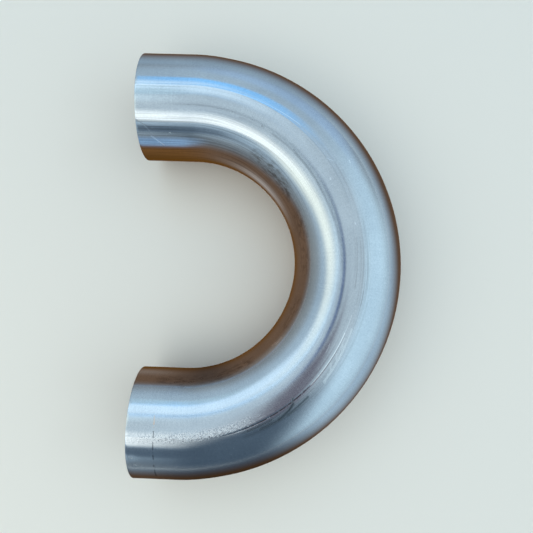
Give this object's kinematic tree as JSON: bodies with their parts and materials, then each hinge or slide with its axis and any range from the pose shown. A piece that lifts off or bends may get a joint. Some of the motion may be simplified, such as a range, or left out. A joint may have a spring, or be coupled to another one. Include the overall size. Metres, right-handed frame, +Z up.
{
  "type": "return bend",
  "caption": "U-shaped return bend of thin-walled round stainless steel tube, turned through a half circle, with two parallel square-cut ends.",
  "frame": {"origin": "on the ground under the middle of the bend's length and width; the bend lies flat on the underside of its tube", "axes": "+X from the open ends to the crown of the bend, +Y towards the long leg, +Z up, square to the plane of the bend"},
  "size_m": [0.1884, 0.3048, 0.0762],
  "materials": {
    "stainless_steel": "satin"
  },
  "bodies": {
    "root": {"return_bend": "stainless_steel"}
  },
  "joints": []
}
